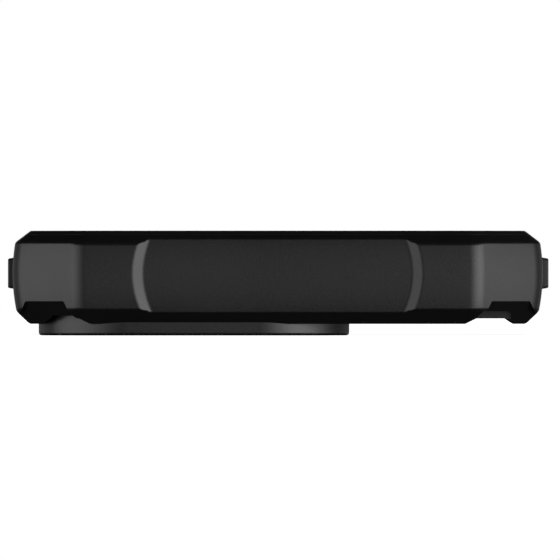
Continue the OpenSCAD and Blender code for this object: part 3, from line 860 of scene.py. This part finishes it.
def make_button(node, body, sign, material):
    """A flanged cap: plunger inside, flange behind the shell, rounded face with fine grooves."""
    y, half = button_place(node)
    lo, hi = box_mm(node)
    tip, face = sorted((abs(lo[0]), abs(hi[0])))
    flange_out = CORE_W - 0.02
    flange_in = flange_out - FLANGE["thick"]

    def ring(grow_y, grow_z, r, x):
        """The cap's outline, grown, at this distance from the middle."""
        return placed(round_rect(half + grow_y, CAP_H / 2 + grow_z, r, 6, (y, CAP_Z)), sign * x, "x")

    corner, flange_corner = 0.6, 1.0
    rings = []
    for inset, x in ((0.15, tip), (0.04, tip + 0.05), (0, tip + 0.15), (0, flange_in)):
        grow = -PLUNGER_IN - inset
        rings.append(ring(grow, grow, corner - inset, x))
    for x in (flange_in, flange_out):
        rings.append(ring(FLANGE["y"], FLANGE["z"], flange_corner, x))
    for grow_y, grow_z, r, x in ((0, 0, corner, flange_out), (0, 0, corner, HALF_W - 0.3),
                                 (0.02, 0.1, corner, HALF_W - 0.2), (0, 0, 0.55, HALF_W + 0.1)):
        rings.append(ring(grow_y, grow_z, r, x))
    for a in np.radians((0, 30, 60, 90)):
        out, back = CAP_EDGE * math.sin(a), CAP_EDGE * (math.cos(a) - 1)
        rings.append(ring(back - 0.03, back - 0.12, 0.5 + back, face - CAP_EDGE + out))
    rings.append(ring(-0.62, -0.7, 0.2, face))
    cap = loft(node + "_cap", rings)
    count, pitch, depth = max(3, int(half / 1.4)), 1.25, 0.14
    first = y - (count - 1) / 2 * pitch
    grooves = []
    for i in range(count):
        outline = round_rect(0.22, 1.25, 0.2, 5, (first + i * pitch, CAP_Z))
        grooves.append(side_prism(outline, sign, face - depth, face + PAST))
    boolean(cap, grooves)
    finish_piece(cap, body, material, [node])


def make_grip(node, material):
    """A rubber inlay with slanted, round-topped ribs."""
    lo, hi = box_mm(node)
    centre, half = middle_mm(node)
    sign = math.copysign(1, centre[0])
    inner, outer = sorted((abs(lo[0]), abs(hi[0])))
    plate = outer - 0.45

    def ring(inset, x):
        """The inlay's outline at this distance from the middle."""
        outline = round_rect(half[1] - inset, half[2] - inset, GRIP_R - inset, 6, centre[1:])
        return placed(outline, sign * x, "x")

    grip = loft(node + "_inlay", [ring(0, inner), ring(0, plate - 0.15), ring(0.05, plate - 0.05),
                                  ring(0.15, plate)])
    count, margin, rib_half, slant = 21, 2.3, 0.72, 0.32
    pitch = 2 * (half[1] - margin) / (count - 1)
    top = ((0, plate - 0.2), (0, outer - 0.3), (0.08, outer - 0.13), (0.22, outer - 0.04), (0.42, outer))
    ribs = []
    for i in range(count):
        y = centre[1] - half[1] + margin + i * pitch
        rings = []
        for inset, x in top:
            outline = round_rect(rib_half - inset, half[2] - 0.95 - inset, rib_half - 0.02 - inset, 6)
            slanted = [(y + u + slant * v, centre[2] + v) for u, v in outline]
            rings.append(placed(slanted, sign * x, "x"))
        ribs.append(loft("rib", rings))
    boolean(grip, ribs, "UNION")
    finish_piece(grip, "case", material, [node])


def make_pad(node, material):
    """A skid pad with rounded edges and treads across it."""
    lo, hi = box_mm(node)
    centre, half = middle_mm(node)
    edge = [(0.2, lo[2]), (0.07, lo[2] + 0.05), (0, lo[2] + 0.18), (0, hi[2])]
    pad = soft_slab(node + "_tread", half, PAD_R, edge, centre, 6)
    each_side, pitch, mouth, bed = 3, 1.7, 0.42, 0.22
    below, above = lo[2] - 0.2, lo[2] + 0.28
    cuts = []
    for i in range(-each_side, each_side + 1):
        x = centre[0] + i * pitch
        profile = fillet([(x - mouth, below), (x - bed, above), (x + bed, above), (x + mouth, below)],
                         [0, 0.12, 0.12, 0], 3)
        cuts.append(prism(profile, centre[1] - half[1] - PAST, centre[1] + half[1] + PAST, "y"))
    boolean(pad, cuts)
    finish_piece(pad, "case", material, [node])


# ---- The case ------------------------------------------------------------------------------

armor_plastic = textured_plastic("armor_plastic", 0.005, 0.34)
button_plastic = textured_plastic("button_plastic", 0.01, 0.55, grain_mm=0.22)
guard_plastic = textured_plastic("guard_plastic", 0.005, 0.33, grain_mm=0.2, depth_mm=0.006)
panel_plastic = textured_plastic("panel_plastic", 0.008, 0.42, grain_mm=0.3)
core_rubber = soft_rubber("core_rubber", 0.005, 0.37, edge_mm=0.05)
grip_rubber = soft_rubber("grip_rubber", 0.006, 0.5)
pad_rubber = soft_rubber("pad_rubber", 0.006, 0.52)

make_armor(armor_plastic)
make_core(core_rubber)
make_guard(guard_plastic)
make_panel(panel_plastic)
make_lining(microfibre("lining_microfibre", 0.045))
for button_node, (button_body, button_sign) in BUTTONS.items():
    make_button(button_node, button_body, button_sign, button_plastic)
for grip_node in GRIPS:
    make_grip(grip_node, grip_rubber)
for pad_node in PADS:
    make_pad(pad_node, pad_rubber)

# The sealed pieces keep their CAD shapes
damper_foam = soft_rubber("damper_foam", 0.03, 0.8)
carrier_plastic = textured_plastic("carrier_plastic", 0.5, 0.5, grain_mm=0.4, depth_mm=0.006)
cover_film = textured_plastic("cover_film", 0.04, 0.4, grain_mm=0.15, depth_mm=0.002, edge_mm=0.03)
magnet_nickel = nickel_plate("magnet_nickel")
inner_materials = {
    "magnet_carrier": carrier_plastic,
    "ring_magnets": magnet_nickel,
    "magnet_cover": cover_film,
    "alignment_magnet": magnet_nickel,
}
for node_name in frame["nodes"]:
    if node_name.startswith("corner_damper"):
        inner_materials[node_name] = damper_foam
for node_name, inner_material in inner_materials.items():
    for material_slot in frame["nodes"][node_name].material_slots:
        material_slot.material = inner_material

# ---- Stage, light and camera, in metres ----------------------------------------------------

# The studio's radius, the height of the case's middle, and each box of a curved bank: how many
# degrees it takes, its height, and the azimuth past which there is none
STUDIO_R, CASE_MIDDLE = 0.9, 0.008
WRAP_STEP, WRAP_H, WRAP_END = 15, 0.68, 100

# The camera's place and aim, and the width it frames at a plane this far before the case's middle
CAMERA_AWAY, CAMERA_X, CAMERA_Z = 4.1, 0.35 * MM, 8.37 * MM
FRAME_WIDTH, FRAME_BEFORE = 84.53 * MM, 65 * MM


def make_floor():
    """A pale floor, seen only from above, which throws nothing back at the case."""
    size = 3
    mesh = bpy.data.meshes.new("floor")
    corners = [(-size, -size, 0), (size, -size, 0), (size, size, 0), (-size, size, 0)]
    mesh.from_pydata(corners, [], [(0, 1, 2, 3)])
    floor = bpy.data.objects.new("floor", mesh)
    bpy.context.scene.collection.objects.link(floor)
    floor.visible_diffuse = floor.visible_glossy = floor.visible_shadow = False
    n = Nodes("floor_paint")
    n.set(Base_Color=(0.8, 0.8, 0.8, 1), Roughness=0.9, Specular_IOR_Level=0)
    n.set(Emission_Color=(1, 1, 1, 1), Emission_Strength=0.93)
    side = n.add("ShaderNodeNewGeometry").outputs["Backfacing"]
    below = n.add("ShaderNodeBsdfTransparent").outputs["BSDF"]
    both = n.tree.nodes.new("ShaderNodeMixShader")
    for socket, value in zip(both.inputs, (side, n.shader.outputs["BSDF"], below)):
        n.put(socket, value)
    n.put(n.tree.nodes["Material Output"].inputs["Surface"], both.outputs[0])
    mesh.materials.append(n.material)
    return floor


def light_collection(name, objects, state):
    """A collection that makes a light reach only these objects, or all but these."""
    collection = bpy.data.collections.new(name)
    for obj in objects:
        collection.objects.link(obj)
    for member in collection.collection_objects:
        member.light_linking.link_state = state
    return collection


def direction(azimuth, elevation):
    """Unit vector towards a place in the studio. Azimuth 0 is the camera's side, and 90 is +X."""
    a, e = math.radians(azimuth), math.radians(elevation)
    return Vector((math.sin(a) * math.cos(e), -math.cos(a) * math.cos(e), math.sin(e)))


def softbox(name, azimuth, elevation, width, height, brightness, reach):
    """A rectangular softbox that faces the case, unseen by the camera. Brightness 1 is paper white."""
    data = bpy.data.lights.new(name, "AREA")
    data.shape, data.size, data.size_y = "RECTANGLE", width, height
    data.energy = brightness * math.pi * width * height
    light = bpy.data.objects.new(name, data)
    bpy.context.scene.collection.objects.link(light)
    toward = direction(azimuth, elevation)
    light.location = toward * STUDIO_R + Vector((0, 0, CASE_MIDDLE))
    light.rotation_euler = toward.to_track_quat("Z", "Y").to_euler()
    light.visible_camera = False
    light.light_linking.receiver_collection = reach


def side_wrap(name, middle, spread, peak, reach):
    """A curved bank of tall softboxes beside the case, brightest in its middle and fading out."""
    width = 2 * STUDIO_R * math.tan(math.radians(WRAP_STEP / 2))
    for i in range(-5, 6):
        off = WRAP_STEP * i
        if abs(off) < spread and abs(middle + off) < WRAP_END:
            brightness = peak * math.cos(math.pi / 2 * off / spread) ** 2
            softbox(f"{name}_{i + 5}", middle + off, 0, width, WRAP_H, brightness, reach)


def make_sun(reach):
    """A wide, soft light from above for the floor, so the case stands on pure white."""
    data = bpy.data.lights.new("floor_sun", "SUN")
    data.angle, data.energy = math.radians(30), 1.2
    sun = bpy.data.objects.new("floor_sun", data)
    bpy.context.scene.collection.objects.link(sun)
    sun.rotation_euler = direction(0, 70).to_track_quat("Z", "Y").to_euler()
    sun.visible_camera = False
    sun.light_linking.receiver_collection = reach


def make_world():
    """White behind the case, and a faint grey light all round it."""
    world = bpy.data.worlds.new("studio")
    bpy.context.scene.world = world
    world.use_nodes = True
    tree = world.node_tree
    background = tree.nodes["Background"]
    background.inputs["Color"].default_value = (1, 1, 1, 1)
    path = tree.nodes.new("ShaderNodeLightPath")
    strength = tree.nodes.new("ShaderNodeMapRange")
    tree.links.new(path.outputs["Is Camera Ray"], strength.inputs["Value"])
    strength.inputs["To Min"].default_value = 0.012
    strength.inputs["To Max"].default_value = 1.0
    tree.links.new(strength.outputs["Result"], background.inputs["Strength"])


def make_camera():
    """Level with the case, straight on to its top end, through a very long lens."""
    data = bpy.data.cameras.new("camera")
    data.sensor_width = 18
    data.clip_start, data.clip_end = 0.1, 20
    data.lens = data.sensor_width * (CAMERA_AWAY - FRAME_BEFORE) / FRAME_WIDTH
    camera = bpy.data.objects.new("camera", data)
    bpy.context.scene.collection.objects.link(camera)
    camera.location = (CAMERA_X, -CAMERA_AWAY, CAMERA_Z)
    camera.rotation_euler = (math.radians(90), 0, 0)
    bpy.context.scene.camera = camera


floor = make_floor()
floor_only = light_collection("floor_only", [floor], "INCLUDE")
all_but_floor = light_collection("all_but_floor", [floor], "EXCLUDE")
pocket = [bpy.data.objects[name] for name in ("core_liner_skin", "floor_lining_nap")]
under = [obj for obj in bpy.data.objects if obj.name.startswith(("back_panel_skin", "skid_pad"))]
pocket_only = light_collection("pocket_only", pocket, "INCLUDE")
under_only = light_collection("under_only", under, "INCLUDE")
make_world()
side_wrap("right_wrap", middle=51.5, spread=61, peak=3.95, reach=all_but_floor)
side_wrap("left_wrap", middle=-66, spread=70, peak=2.1, reach=all_but_floor)
for rear_name, rear_azimuth in (("rear_right", 135), ("rear_left", -135)):
    softbox(rear_name, rear_azimuth, 0, width=0.7, height=0.4, brightness=0.22, reach=all_but_floor)
softbox("rear", 180, 4, width=0.6, height=0.35, brightness=0.6, reach=all_but_floor)
softbox("pocket_light", 180, 55, width=1.3, height=1.0, brightness=2.5, reach=pocket_only)
softbox("under_light", 0, -90, width=2.4, height=2.4, brightness=1.0, reach=under_only)
make_sun(floor_only)
make_camera()

scene = bpy.context.scene
scene.view_settings.view_transform = "Standard"
scene.view_settings.look = "None"
